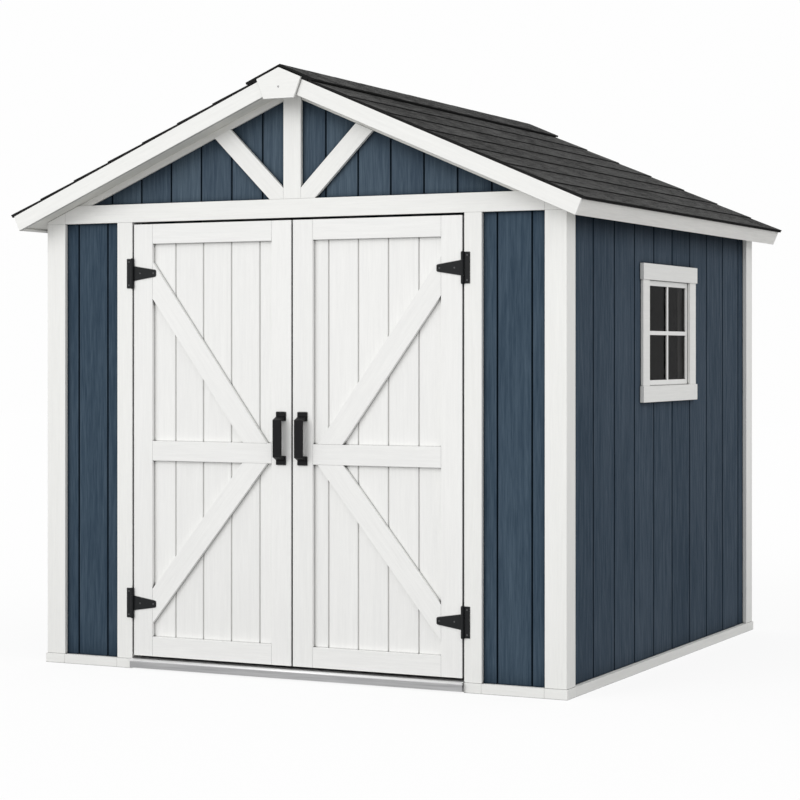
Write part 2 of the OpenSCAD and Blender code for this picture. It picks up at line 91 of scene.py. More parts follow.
def mixColour(tree, factor, first, second):
    node = addNode(tree, "ShaderNodeMix", data_type="RGBA")
    for key, value in (("Factor", factor), ("A", first), ("B", second)):
        socket = socketOf(node.inputs, key)
        if isinstance(value, bpy.types.NodeSocket):
            tree.links.new(value, socket)
        else:
            socket.default_value = (*value, 1) if isinstance(value, tuple) else value
    return socketOf(node.outputs, "Result")


def stretchedNoise(tree, vector, stretch, detail=2.0, roughness=0.5, distortion=0.0):
    scaled = addNode(tree, "ShaderNodeVectorMath", {0: vector, 1: stretch}, operation="MULTIPLY")
    noise = {"Vector": scaled.outputs[0], "Scale": 1.0, "Detail": detail, "Roughness": roughness,
             "Distortion": distortion}
    return addNode(tree, "ShaderNodeTexNoise", noise).outputs["Fac"]


def ramp(tree, value, low, high, outLow=0.0, outHigh=1.0):
    inputs = {"Value": value, "From Min": low, "From Max": high, "To Min": outLow, "To Max": outHigh}
    return addNode(tree, "ShaderNodeMapRange", inputs).outputs["Result"]


def fromNoise(tree, noise, outLow, outHigh):
    return ramp(tree, noise, 0.3, 0.7, outLow, outHigh)  # where nearly all of a noise lies


def newMaterial(name, **values):
    material = bpy.data.materials.new(name)
    material.use_nodes = True
    shader = material.node_tree.nodes["Principled BSDF"]
    for key, value in values.items():
        shader.inputs[key.replace("_", " ")].default_value = value
    return material, material.node_tree, shader


def placeOn(tree):
    return addNode(tree, "ShaderNodeTexCoord").outputs["Object"]


def painted(tree, name):
    return addNode(tree, "ShaderNodeAttribute", attribute_name=name).outputs["Fac"]


def openness(tree, reach):
    return addNode(tree, "ShaderNodeAmbientOcclusion", {"Distance": reach}, samples=8).outputs["AO"]


def facingUp(tree):
    normal = addNode(tree, "ShaderNodeNewGeometry").outputs["Normal"]
    return addNode(tree, "ShaderNodeSeparateXYZ", {0: normal}).outputs["Z"]


def dress(tree, shader, colour, rough, height, emboss, strength=1.0):
    tree.links.new(colour, shader.inputs["Base Color"])
    if rough:
        tree.links.new(rough, shader.inputs["Roughness"])
    bump = addNode(tree, "ShaderNodeBump", {"Height": height, "Distance": emboss, "Strength": strength})
    tree.links.new(bump.outputs["Normal"], shader.inputs["Normal"])


# a level camera, shifted instead of tilted so that uprights stay upright
cameraPlan = {"place": (4.409, -9.2295, 1.3585), "turn": 26.03, "lens": 99.36, "shiftUp": -0.0608}


def makeCamera(plan):
    data = bpy.data.cameras.new("camera")
    data.lens = plan["lens"]
    data.shift_y = plan["shiftUp"]
    camera = newObject("camera", data)
    camera.location = plan["place"]
    camera.rotation_euler = (math.pi / 2, 0, math.radians(plan["turn"]))
    scene.camera = camera


makeCamera(cameraPlan)
print("camera made")

# studio: even sky, one soft key from the upper left, a pale floor that keeps the shadow
studio = {
    "sky": 0.985, "backdrop": 0.99,
    "key": 1.02, "keyTurn": -27, "keyTilt": 65, "keySoftness": 40,
    "floorSize": 60.0, "floorDrop": 0.0005, "floorOwn": 0.1, "floorLift": 0.88,
    # the floor that lights the shed is darker near it: painted shade in the light it bounces
    "nearMiddle": (-0.6, -0.5, 0), "nearTone": 0.33, "farTone": 0.54, "nearReach": 1.6, "farReach": 4.2,
}


def seenDirectly(tree):
    path = addNode(tree, "ShaderNodeLightPath")
    either = maths(tree, "MAXIMUM", path.outputs["Is Camera Ray"], path.outputs["Is Glossy Ray"])
    return maths(tree, "MAXIMUM", either, path.outputs["Is Transmission Ray"])


def mixShaders(tree, lit, seen):
    shaders = {0: seenDirectly(tree), 1: lit.outputs[0], 2: seen.outputs[0]}
    return addNode(tree, "ShaderNodeMixShader", shaders).outputs[0]


def makeSky(plan):
    world = bpy.data.worlds.new("studio")
    scene.world = world
    world.use_nodes = True
    tree = world.node_tree
    tree.nodes.clear()
    sky = addNode(tree, "ShaderNodeBackground", {"Color": (1, 1, 1, 1), "Strength": plan["sky"]})
    drop = addNode(tree, "ShaderNodeBackground", {"Color": (1, 1, 1, 1), "Strength": plan["backdrop"]})
    addNode(tree, "ShaderNodeOutputWorld", {"Surface": mixShaders(tree, sky, drop)})


def makeKey(plan):
    data = bpy.data.lights.new("key", "SUN")
    data.energy = plan["key"]
    data.angle = math.radians(plan["keySoftness"])
    key = newObject("key", data)
    key.rotation_euler = (math.radians(plan["keyTilt"]), 0, math.radians(plan["keyTurn"]))


def makeFloorFinish(plan):
    material = bpy.data.materials.new("paleFloor")
    material.use_nodes = True
    tree = material.node_tree
    tree.nodes.clear()
    # darker near the shed: painted shade, seen only in the light the floor bounces
    spot = addNode(tree, "ShaderNodeNewGeometry").outputs["Position"]
    away = addNode(tree, "ShaderNodeVectorMath", {0: spot, 1: plan["nearMiddle"]}, operation="DISTANCE")
    tone = ramp(tree, away.outputs["Value"], plan["nearReach"], plan["farReach"], plan["nearTone"],
                plan["farTone"])
    lit = addNode(tree, "ShaderNodeBsdfDiffuse", {"Color": tone})
    own = plan["floorOwn"]
    kept = addNode(tree, "ShaderNodeBsdfDiffuse", {"Color": (own, own, own, 1)})
    lift = addNode(tree, "ShaderNodeEmission", {"Color": (1, 1, 1, 1), "Strength": plan["floorLift"]})
    seen = addNode(tree, "ShaderNodeAddShader", {0: kept.outputs[0], 1: lift.outputs[0]})
    addNode(tree, "ShaderNodeOutputMaterial", {"Surface": mixShaders(tree, lit, seen)})
    return material


def makeFloor(plan):
    half, z = plan["floorSize"] / 2, -plan["floorDrop"]
    corners = [(-half, -half, z), (half, -half, z), (half, half, z), (-half, half, z)]
    mesh = bpy.data.meshes.new("studioFloor")
    mesh.from_pydata(corners, [], [(0, 1, 2, 3)])
    mesh.materials.append(makeFloorFinish(plan))
    floor = newObject("studioFloor", mesh)


makeSky(studio)
makeKey(studio)
makeFloor(studio)
scene.view_settings.view_transform = "Standard"
print("studio made")

# wood grain moulded into the boards: "grain" holds metres along and across each board
grainPlan = {
    "blotch": (1.3, 6.0, 6.0), "figure": (4.0, 75.0, 75.0), "fibre": (11.0, 210.0, 210.0),
    "pores": (16.0, 420.0, 420.0), "board": (0.02, 0.35, 0.35),
    "figureShare": 0.45, "fibreShare": 0.35, "blotchShare": 0.2, "darkAt": 0.37, "lightAt": 0.63,
    "figureBend": 0.3, "poreFrom": 0.56, "poreFull": 0.72, "poreSink": 0.4,
}


def makeWoodGrain(plan):
    tree = bpy.data.node_groups.new("woodGrain", "ShaderNodeTree")
    for name in ("tone", "height", "board"):
        tree.interface.new_socket(name, in_out="OUTPUT", socket_type="NodeSocketFloat")
    out = tree.nodes.new("NodeGroupOutput")
    grain = addNode(tree, "ShaderNodeAttribute", attribute_name="grain").outputs["Vector"]
    blotch = stretchedNoise(tree, grain, plan["blotch"], 3, 0.55)
    figure = stretchedNoise(tree, grain, plan["figure"], 3, 0.6, plan["figureBend"])
    fibre = stretchedNoise(tree, grain, plan["fibre"], 3, 0.6)
    pores = ramp(tree, stretchedNoise(tree, grain, plan["pores"], 1), plan["poreFrom"], plan["poreFull"])
    mixed = maths(tree, "MULTIPLY", fibre, plan["fibreShare"])
    mixed = maths(tree, "MULTIPLY_ADD", figure, plan["figureShare"], mixed)
    mixed = maths(tree, "MULTIPLY_ADD", blotch, plan["blotchShare"], mixed)
    tone = ramp(tree, mixed, plan["darkAt"], plan["lightAt"])
    tree.links.new(tone, out.inputs["tone"])
    tree.links.new(maths(tree, "MULTIPLY_ADD", pores, -plan["poreSink"], tone), out.inputs["height"])
    tree.links.new(stretchedNoise(tree, grain, plan["board"], 0), out.inputs["board"])
    return tree


woodGrain = makeWoodGrain(grainPlan)
underSide = {"starts": -0.5, "full": -0.85}  # how far down a face looks where its painted shade starts and is full


def grainedPlastic(name, look):
    material, tree, shader = newMaterial(name, Specular_IOR_Level=look["gloss"])
    grain = addNode(tree, "ShaderNodeGroup", node_tree=woodGrain)
    board = fromNoise(tree, grain.outputs["board"], -look["boards"], look["boards"])
    tone = maths(tree, "ADD", grain.outputs["tone"], board)
    colour = mixColour(tree, tone, look["dark"], look["light"])
    # painted shade in the grooves between boards: the deeper a point lies in a groove, the more it takes the
    # groove colour
    grooveShading = ramp(tree, painted(tree, "groove"), 0.0, look["grooveFull"])
    colour = mixColour(tree, grooveShading, colour, look["groove"])
    # inside a painted groove, grooveClear takes off the painted crevice shade below
    clear = maths(tree, "MULTIPLY_ADD", grooveShading, -look["grooveClear"], 1.0)
    # painted shade where a point is closed in: corners, creases and under the overhangs
    for reach, openAt, shutAt, depth in look["crevices"]:
        shade = ramp(tree, openness(tree, reach), openAt, shutAt, 0.0, depth)
        colour = mixColour(tree, maths(tree, "MULTIPLY", shade, clear), colour, look["crevice"])
    # painted shade on faces that look down
    if look["under"]:
        shade = ramp(tree, facingUp(tree), underSide["starts"], underSide["full"], 0.0, look["under"])
        colour = mixColour(tree, shade, colour, look["crevice"])
    height = grain.outputs["height"]
    rough = ramp(tree, height, 0, 1, look["roughLow"], look["roughHigh"])
    dress(tree, shader, colour, rough, height, look["emboss"])
    return material


# painted shade in corners, creases and under the overhangs: each entry holds the reach in metres, how open a
# place is where its shade starts and is full, and how deep it goes
# groove colour, grooveFull and grooveClear: the painted groove shade, the depth share where it is full, and
# how much crevice shade a groove sheds
whiteLook = {"dark": (0.81, 0.81, 0.79), "light": (0.858, 0.858, 0.836), "groove": (0.6, 0.6, 0.58),
             "crevice": (0.05, 0.05, 0.048), "grooveFull": 1.0, "grooveClear": 1.0, "boards": 0.15,
             "roughLow": 0.5, "roughHigh": 0.42, "gloss": 0.3, "emboss": 0.0003, "under": 0,
             "crevices": ((0.007, 0.82, 0.3, 0.75), (0.02, 0.5, 0.2, 0.9))}
doorLook = dict(whiteLook, dark=(0.817, 0.816, 0.803), light=(0.868, 0.867, 0.851))
# the bargeboards: painted shade on their undersides and a wider crevice shade beside the peak plates
rakeLook = dict(whiteLook, under=0.45, crevices=((0.012, 0.86, 0.45, 0.9),))
# darker copies of the white for the soffits, the gable friezes and the eave fascias: painted shade where
# they face down or sit under the overhangs
shadedLook = dict(whiteLook, dark=(0.71, 0.705, 0.67), light=(0.79, 0.785, 0.745), crevices=())
shadedFriezeLook = dict(whiteLook, dark=(0.73, 0.727, 0.7), light=(0.8, 0.797, 0.77), crevices=())
shadedFasciaLook = dict(whiteLook, dark=(0.73, 0.725, 0.7), light=(0.81, 0.8, 0.77))
navyLook = {"dark": (0.03, 0.049, 0.073), "light": (0.066, 0.092, 0.125), "groove": (0.003, 0.007, 0.012),
            "crevice": (0.003, 0.007, 0.012), "grooveFull": 0.26, "grooveClear": 0.0, "boards": 0.2,
            "roughLow": 0.62, "roughHigh": 0.52, "gloss": 0.02, "emboss": 0.0005, "under": 0,
            "crevices": ((0.008, 0.8, 0.3, 0.6), (0.13, 0.93, 0.45, 0.75))}
# lighter copies of the navy: painted light on the front walls and more on the gable
litFrontLook = dict(navyLook, dark=(0.032, 0.053, 0.079), light=(0.067, 0.099, 0.134))
litGableLook = dict(navyLook, dark=(0.045, 0.067, 0.095), light=(0.087, 0.122, 0.157))

# the looks of the other finishes
# the smooth white's crevice colour, reach, openAt, shutAt and depth: painted shade in the sash's corners and
# creases
smoothLook = {"dark": (0.81, 0.81, 0.795), "light": (0.87, 0.87, 0.855), "crevice": (0.04, 0.04, 0.04),
              "cloud": (7, 7, 7), "fine": (900, 900, 900), "reach": 0.01, "openAt": 0.8, "shutAt": 0.5,
              "depth": 0.8, "roughLow": 0.3, "roughHigh": 0.42, "gloss": 0.35, "emboss": 0.00004}
# layers: stretch, roughness and share of each noise; foot: how far up a course the painted shadow at its
# head, under the next course's butt, reaches
shingleLook = {"dark": (0.017, 0.017, 0.0168), "light": (0.088, 0.088, 0.0862), "cut": (0.017, 0.017, 0.017),
               "layers": (((6, 6, 6), 0.6, 0.25), ((60, 12, 60), 0.7, 0.9), ((22, 60, 22), 0.75, 0.45)),
               "granule": 420.0, "speckShare": 0.25, "toneShare": 0.11, "wornShare": 0.06,
               "darkAt": 0.905, "lightAt": 1.125, "foot": 0.08, "footShade": 0.85,
               "rough": 0.95, "gloss": 0.05, "emboss": 0.0009, "strength": 0.7}
coatLook = {"dark": (0.006, 0.007, 0.008), "light": (0.011, 0.012, 0.013), "peel": (1300, 1300, 1300),
            "cloud": (30, 30, 30), "roughLow": 0.34, "roughHigh": 0.5, "gloss": 0.17, "emboss": 0.00012}
# a lighter coat for the hinges' bevelled edges: a painted highlight
edgeHighlightLook = dict(coatLook, dark=(0.03, 0.031, 0.033), light=(0.055, 0.057, 0.06), gloss=0.3)
screwLook = dict(coatLook, dark=(0.055, 0.057, 0.059), light=(0.1, 0.102, 0.105), gloss=0.4)
handleLook = dict(coatLook, dark=(0.003, 0.003, 0.004), light=(0.006, 0.006, 0.007), gloss=0.14)
plateScrewLook = dict(coatLook, dark=(0.45, 0.45, 0.45), light=(0.56, 0.56, 0.55), gloss=0.4)
# tread: the lighter colour of the top faces, a painted reflection
metalLook = {"dark": (0.15, 0.15, 0.153), "light": (0.53, 0.53, 0.535), "tread": (0.72, 0.72, 0.72),
             "brush": (5, 260, 260), "cloud": (3, 60, 60), "share": 0.5, "polishFrom": 0.6,
             "polishFull": 0.9, "metal": 1.0, "roughLow": 0.3, "roughHigh": 0.46, "emboss": 0.00005}
# the nosing: near-white and only a little metallic, a painted highlight along the threshold's edge
nosingHighlightLook = dict(metalLook, dark=(0.82, 0.82, 0.82), light=(0.92, 0.92, 0.92), tread=(0.88, 0.88, 0.88),
                  metal=0.3)
greyLook = {"dark": (0.29, 0.29, 0.285), "light": (0.35, 0.35, 0.34), "pebble": 240.0, "cloud": (3, 3, 3),
            "roughLow": 0.6, "roughHigh": 0.45, "gloss": 0.3, "emboss": 0.0004}
glassLook = {"dark": (0.2, 0.2, 0.197), "light": (0.24, 0.24, 0.236), "cloud": (2, 4, 4),
             "ripple": (3, 3, 3), "rough": 0.02, "ior": 1.055, "emboss": 0.0006}


def makeSmoothWhite(look):
    material, tree, shader = newMaterial("smoothWhite", Specular_IOR_Level=look["gloss"])
    place = placeOn(tree)
    fine = stretchedNoise(tree, place, look["fine"])
    # painted shade in the sash's corners and creases
    shade = ramp(tree, openness(tree, look["reach"]), look["openAt"], look["shutAt"], 0.0, look["depth"])
    colour = mixColour(tree, stretchedNoise(tree, place, look["cloud"], 3), look["dark"], look["light"])
    colour = mixColour(tree, shade, colour, look["crevice"])
    rough = fromNoise(tree, fine, look["roughLow"], look["roughHigh"])
    dress(tree, shader, colour, rough, fine, look["emboss"])
    return material


def makeShingleFinish(look):
    material, tree, shader = newMaterial("granularShingle", Specular_IOR_Level=look["gloss"],
                                         Roughness=look["rough"])
    place = placeOn(tree)
    worn = painted(tree, "worn")
    granule = addNode(tree, "ShaderNodeTexVoronoi", {"Vector": place, "Scale": look["granule"]})
    speck = addNode(tree, "ShaderNodeSeparateColor", {0: granule.outputs["Color"]}).outputs[0]
    mixed = maths(tree, "MULTIPLY", speck, look["speckShare"])
    mixed = maths(tree, "MULTIPLY_ADD", painted(tree, "tone"), look["toneShare"], mixed)
    for stretch, roughness, share in look["layers"]:
        mixed = maths(tree, "MULTIPLY_ADD", stretchedNoise(tree, place, stretch, 4, roughness), share, mixed)
    # lighter towards each course's butt: painted light
    mixed = maths(tree, "MULTIPLY_ADD", worn, look["wornShare"], mixed)
    colour = mixColour(tree, ramp(tree, mixed, look["darkAt"], look["lightAt"]), look["dark"], look["light"])
    # a painted shadow at each course's head, under the butt of the course above
    foot = ramp(tree, worn, look["foot"], 0.0, 0.0, look["footShade"])
    colour = mixColour(tree, foot, colour, look["cut"])
    # the butt and end faces take the dark cut colour: dark asphalt at the cut, darkened further as painted
    # shade along each butt
    colour = mixColour(tree, painted(tree, "cutEdge"), colour, look["cut"])
    dress(tree, shader, colour, None, granule.outputs["Distance"], look["emboss"], look["strength"])
    return material


def makePowderCoat(name, look):
    material, tree, shader = newMaterial(name, Specular_IOR_Level=look["gloss"])
    place = placeOn(tree)
    peel = stretchedNoise(tree, place, look["peel"])
    colour = mixColour(tree, stretchedNoise(tree, place, look["cloud"], 3), look["dark"], look["light"])
    rough = fromNoise(tree, peel, look["roughLow"], look["roughHigh"])
    dress(tree, shader, colour, rough, peel, look["emboss"])
    return material


def makeBrushedAluminium(name, look):
    material, tree, shader = newMaterial(name, Metallic=look["metal"])
    place = placeOn(tree)
    brush = stretchedNoise(tree, place, look["brush"], 4, 0.65)
    cloud = maths(tree, "MULTIPLY", stretchedNoise(tree, place, look["cloud"], 3), 1 - look["share"])
    colour = mixColour(tree, maths(tree, "MULTIPLY_ADD", brush, look["share"], cloud), look["dark"],
                       look["light"])
    topSheen = ramp(tree, facingUp(tree), look["polishFrom"], look["polishFull"])  # the top faces lighter: a painted reflection of the bright surroundings
    colour = mixColour(tree, topSheen, colour, look["tread"])
    rough = fromNoise(tree, brush, look["roughLow"], look["roughHigh"])
    dress(tree, shader, colour, rough, brush, look["emboss"])
    return material


def makeGreyPlastic(look):
    material, tree, shader = newMaterial("leatheredGrey", Specular_IOR_Level=look["gloss"])
    place = placeOn(tree)
    pebble = addNode(tree, "ShaderNodeTexVoronoi", {"Vector": place, "Scale": look["pebble"]},
                     feature="SMOOTH_F1").outputs["Distance"]
    colour = mixColour(tree, stretchedNoise(tree, place, look["cloud"], 4), look["dark"], look["light"])
    rough = ramp(tree, pebble, 0, 1, look["roughLow"], look["roughHigh"])
    dress(tree, shader, colour, rough, pebble, look["emboss"])
    return material


def makeGlass(look):
    material, tree, shader = newMaterial("windowGlass", Transmission_Weight=1.0, Roughness=look["rough"],
                                         IOR=look["ior"])
    place = placeOn(tree)
    colour = mixColour(tree, stretchedNoise(tree, place, look["cloud"]), look["dark"], look["light"])
    dress(tree, shader, colour, None, stretchedNoise(tree, place, look["ripple"], 1), look["emboss"])
    return material


smoothWhite = makeSmoothWhite(smoothLook)
shingleFinish = makeShingleFinish(shingleLook)
powderCoat = makePowderCoat("powderCoat", coatLook)
rubbedEdge = makePowderCoat("rubbedEdge", edgeHighlightLook)
screwCoat = makePowderCoat("screwCoat", screwLook)
handleCoat = makePowderCoat("handleCoat", handleLook)
plateScrew = makePowderCoat("plateScrew", plateScrewLook)
aluminium = makeBrushedAluminium("brushedAluminium", metalLook)
nosing = makeBrushedAluminium("satinNosing", nosingHighlightLook)
greyPlastic = makeGreyPlastic(greyLook)
glass = makeGlass(glassLook)
print("finishes made")

# all but the glass and the shingles: a copy of the CAD solid, its edges softened, the grain along each board
finishes = {
    "white_trim": {"word": "moulded", "edge": 0.0014, "finish": grainedPlastic("whiteBoard", whiteLook)},
    "white_door": {"word": "moulded", "edge": 0.0014, "finish": grainedPlastic("whiteDoorBoard", doorLook)},
    "navy_siding": {"word": "moulded", "edge": 0.0016, "finish": grainedPlastic("navySiding", navyLook)},
    "grey_plastic": {"word": "moulded", "edge": 0.002, "finish": greyPlastic},
    "black_hardware": {"word": "coated", "edge": 0.0007, "finish": powderCoat},
    "aluminium_sill": {"word": "brushed", "edge": 0.0009, "finish": aluminium},
}
shaded = grainedPlastic("shadedBoard", shadedLook)
rake = grainedPlastic("rakeBoard", rakeLook)
ownFinish = {
    "window_sash": smoothWhite, "left_door_handle": handleCoat, "right_door_handle": handleCoat,
    # the front and the gable take lighter navy copies: painted light
    "front_walls": grainedPlastic("navyFront", litFrontLook),
    "front_gable": grainedPlastic("navyGable", litGableLook),
    # the friezes, fascias and soffits take darker copies of the white: painted shade
    "gable_friezes": grainedPlastic("friezeBoard", shadedFriezeLook),
    "eave_fascias": grainedPlastic("fasciaBoard", shadedFasciaLook),
    "gable_soffits": shaded, "eave_soffits": shaded, "left_bargeboards": rake, "right_bargeboards": rake,
}
highlightedEdges = {"hinge_leaves", "hinge_pins", "left_door_straps", "right_door_straps"}  # the bevelled edges take a lighter coat: a painted highlight
ownEdge = {"left_door_handle": 0.0022, "right_door_handle": 0.0022, "window_sash": 0.0018,
           "hinge_pins": 0.0006}
# grooved boards: the way each faces
facing = {"front_walls": -sideY, "front_gable": -sideY, "left_door_panel": -sideY,
          "right_door_panel": -sideY, "back_wall": sideY, "back_gable": sideY, "left_wall": -sideX,
          "right_wall": sideX}
openFrames = {"window_sash"}  # faces with holes, split so that their narrow rings stay whole
softening = {"steps": 2, "sharpest": math.radians(34), "mergeWithin": 1e-5, "flatWithin": math.radians(0.4)}
grooves = {"depth": 0.006, "reach": 0.0055, "least": 0.001, "most": 0.012, "marked": 0.0072}
boardSpread = 9.0  # metres over which the boards are scattered in the wood grain
lengthwise = 0.7  # a run's share of Y past which it lies front to back


def closedMesh(bm, name):
    bmesh.ops.recalc_face_normals(bm, faces=bm.faces)
    mesh = bpy.data.meshes.new(name)
    bm.to_mesh(mesh)
    bm.free()
    return mesh


def evaluatedMesh(piece, name):
    graph = bpy.context.evaluated_depsgraph_get()
    graph.update()
    mesh = bpy.data.meshes.new_from_object(piece.evaluated_get(graph), depsgraph=graph)
    mesh.name = name
    return mesh


def cleanCopy(node):
    source = nodes[node].data
    mesh = bpy.data.meshes.new("copy")
    mesh.from_pydata([v.co for v in source.vertices], [], [p.vertices[:] for p in source.polygons])
    bm = bmesh.new()
    bm.from_mesh(mesh)
    bmesh.ops.remove_doubles(bm, verts=bm.verts, dist=softening["mergeWithin"])
    bmesh.ops.dissolve_limit(bm, angle_limit=softening["flatWithin"], verts=bm.verts, edges=bm.edges)
    if node in openFrames:
        bmesh.ops.connect_verts_concave(bm, faces=bm.faces)
    for face in bm.faces:
        face.smooth = True
    bm.to_mesh(mesh)
    bm.free()
    return mesh


def grooveJoints(mesh, outward, across):
    spots = [(outward.dot(v.co), across.dot(v.co)) for v in mesh.vertices]
    face = max(depth for depth, _ in spots)
    inside = (place for depth, place in spots if grooves["least"] < face - depth < grooves["most"])
    return face, sorted({round(place, 4) for place in inside})


def islandsOf(mesh):
    parent = list(range(len(mesh.vertices)))

    def root(i):
        while parent[i] != i:
            parent[i] = parent[parent[i]]
            i = parent[i]
        return i

    for edge in mesh.edges:
        parent[root(edge.vertices[0])] = root(edge.vertices[1])
    return [root(i) for i in range(len(parent))]


def longestEdges(mesh, islands):
    best = {}
    for edge in mesh.edges:
        a, b = (mesh.vertices[i].co for i in edge.vertices)
        island = islands[edge.vertices[0]]
        if island not in best or (a - b).length > best[island].length + softening["mergeWithin"]:
            best[island] = a - b
    return {island: run.normalized() for island, run in best.items()}


def layGrain(mesh, node, joints, across, upright):
    islands = islandsOf(mesh)
    along = longestEdges(mesh, islands)
    order = {island: number for number, island in enumerate(dict.fromkeys(islands))}
    attribute = mesh.attributes.new("grain", "FLOAT_VECTOR", "CORNER")
    starts = {}
    for face in mesh.polygons:
        island = islands[face.vertices[0]]
        board = bisect(joints, across.dot(face.center)) if joints else 0
        key = (order[island], board)
        if key not in starts:
            chance = random.Random(f"{node} {key}")
            starts[key] = Vector([chance.uniform(0, boardSpread) for _ in range(3)])
        run = upZ if upright else along[island]
        width = run.cross(sideY if abs(run.y) < lengthwise else sideX).normalized()
        turn = Matrix((run, width, run.cross(width)))
        for corner in face.loop_indices:
            point = mesh.vertices[mesh.loops[corner].vertex_index].co
            attribute.data[corner].vector = turn @ point + starts[key]


# how deep each point lies in a groove, for the painted groove shade
def paintGrooveShade(mesh, outward, across, face, joints):
    attribute = mesh.attributes.new("groove", "FLOAT", "POINT")
    for i, vertex in enumerate(mesh.vertices):
        depth = face - outward.dot(vertex.co)
        near = min((abs(across.dot(vertex.co) - joint) for joint in joints), default=1)
        if near < grooves["reach"] and depth < grooves["marked"]:
            attribute.data[i].value = min(1.0, depth / grooves["depth"])


def soften(node):
    look = finishes[slotOf[node]]
    name = look["word"] + "".join(word.capitalize() for word in node.split("_"))
    bare = cleanCopy(node)
    outward = facing.get(node)
    across = sideY if outward and outward.x else sideX
    face, joints = grooveJoints(bare, outward, across) if outward else (0, [])
    piece = newObject(name, bare)
    bevel = piece.modifiers.new("softEdges", "BEVEL")
    bevel.width = ownEdge.get(node, look["edge"])
    bevel.segments = softening["steps"]
    bevel.limit_method = "ANGLE"
    bevel.angle_limit = softening["sharpest"]
    bevel.harden_normals = True
    if node in highlightedEdges:
        bare.materials.append(None)
        bare.materials.append(None)
        bevel.material = 1  # the edges take the second finish
    piece.data = evaluatedMesh(piece, name)
    piece.modifiers.clear()
    bpy.data.meshes.remove(bare)
    layGrain(piece.data, node, joints, across, bool(joints))
    if outward:
        paintGrooveShade(piece.data, outward, across, face, joints)
    piece.data.materials.clear()
    piece.data.materials.append(ownFinish.get(node, look["finish"]))
    if node in highlightedEdges:
        piece.data.materials.append(rubbedEdge)
    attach(piece, bodyOf[node])
    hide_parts(node)


for node in sorted(nodes):
    if slotOf[node] in finishes:
        soften(node)
nodes["window_glass"].data.materials.clear()
nodes["window_glass"].data.materials.append(glass)
print("boards, siding and hardware softened")

# a bright nosing on the threshold, its brightness a painted highlight: rounded over the front edge, with a
# thin foot on the tread
nosingPlan = {"radius": 0.0045, "inset": 0.0025, "arc": 10, "from": 290, "to": 112, "foot": 0.013,
              "footHeight": 0.0007, "footChamfer": 0.001, "footTip": 0.0002, "sink": 0.0004,
              "within": 0.0005}


def nosingOutline(plan, low, high):
    corners = [v.co.yz for v in nodes["threshold"].data.vertices]
    front = max((c for c in corners if c.x < low.y + plan["within"]), key=lambda c: c.y)
    crest = min((c for c in corners if c.y > high.z - plan["within"]), key=lambda c: c.x)
    tread = (crest - front).normalized()
    above = Vector((-tread.y, tread.x))
    middle = front + Vector((plan["inset"], -plan["inset"]))
    outline = []
    for step in range(plan["arc"] + 1):
        angle = math.radians(plan["from"] + (plan["to"] - plan["from"]) * step / plan["arc"])
        outline.append(middle + plan["radius"] * Vector((math.cos(angle), math.sin(angle))))
    for along, lift in ((plan["foot"] - plan["footChamfer"], plan["footHeight"]),
                        (plan["foot"], plan["footTip"]), (plan["foot"], -plan["sink"])):
        outline.append(front + along * tread + lift * above)
    return outline


def makeNosing(plan):
    low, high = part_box("threshold")
    outline = nosingOutline(plan, low, high)
    bm = bmesh.new()
    rings = [[bm.verts.new((x, y, z)) for y, z in outline] for x in (low.x, high.x)]
    for i in range(len(outline)):
        face = bm.faces.new((rings[0][i - 1], rings[0][i], rings[1][i], rings[1][i - 1]))
        face.smooth = 0 < i <= plan["arc"] + 1
    for ring in rings:
        bm.faces.new(ring)
    mesh = closedMesh(bm, "thresholdNosing")
    mesh.materials.append(nosing)
    piece = newObject("thresholdNosing", mesh)
    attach(piece, "shed")


makeNosing(nosingPlan)
print("threshold edged")

# roof covering: courses of laminated tabs on both slopes, and cap pieces along the ridge
shingles = {
    "exposure": 0.188, "eaveCourse": 0.168, "lap": 0.02, "butt": 0.013, "head": 0.009, "seat": 0.0001,
    "chamfer": 0.0012, "chamferRun": 0.0016, "play": 0.0002, "setback": 0.003, "narrowest": 0.003,
    "tab": 0.33, "jitter": 0.12, "gap": 0.0012, "raggedness": 0.001, "courses": 8, "seed": 11,
}
# the cap pieces take a little of the painted butt light
capPieces = {"length": 0.24, "gap": 0.0008, "step": 0.0006, "chamfer": 0.002, "wear": 0.2, "seed": 5}
pitch = math.radians(23.2)
sheetLow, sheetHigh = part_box("right_shingles")
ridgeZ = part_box("right_roof_deck")[1].z
slopeEnd = (sheetHigh.x - shingles["butt"] * math.sin(pitch)) / math.cos(pitch)


def profileSolid(name, outline, cutFaces, wear, length=1.0):
    bm = bmesh.new()
    # the faces that take the dark cut colour, partly painted shade along each butt
    cut = bm.faces.layers.float.new("cutEdge")
    # the painted light along each piece: 1 at a tab's butt, 0 at its head
    worn = bm.verts.layers.float.new("worn")
    rings = [[bm.verts.new((x, y, z)) for x, z in outline] for y in (0, length)]
    for ring in rings:
        for vertex, amount in zip(ring, wear):
            vertex[worn] = amount
    count = len(outline)
    for i in range(count):
        j = (i + 1) % count
        face = bm.faces.new((rings[0][i], rings[0][j], rings[1][j], rings[1][i]))
        face[cut] = 1.0 if i in cutFaces else 0.0
    for ring in (rings[0], rings[1][::-1]):
        bm.faces.new(ring)[cut] = 1.0
    return newObject(name, closedMesh(bm, name))


def treeInputs(tree, sockets):
    for name, kind in sockets:
        tree.interface.new_socket(name, in_out="INPUT", socket_type=kind)
    tree.interface.new_socket("Geometry", in_out="OUTPUT", socket_type="NodeSocketGeometry")
    return tree.nodes.new("NodeGroupInput").outputs


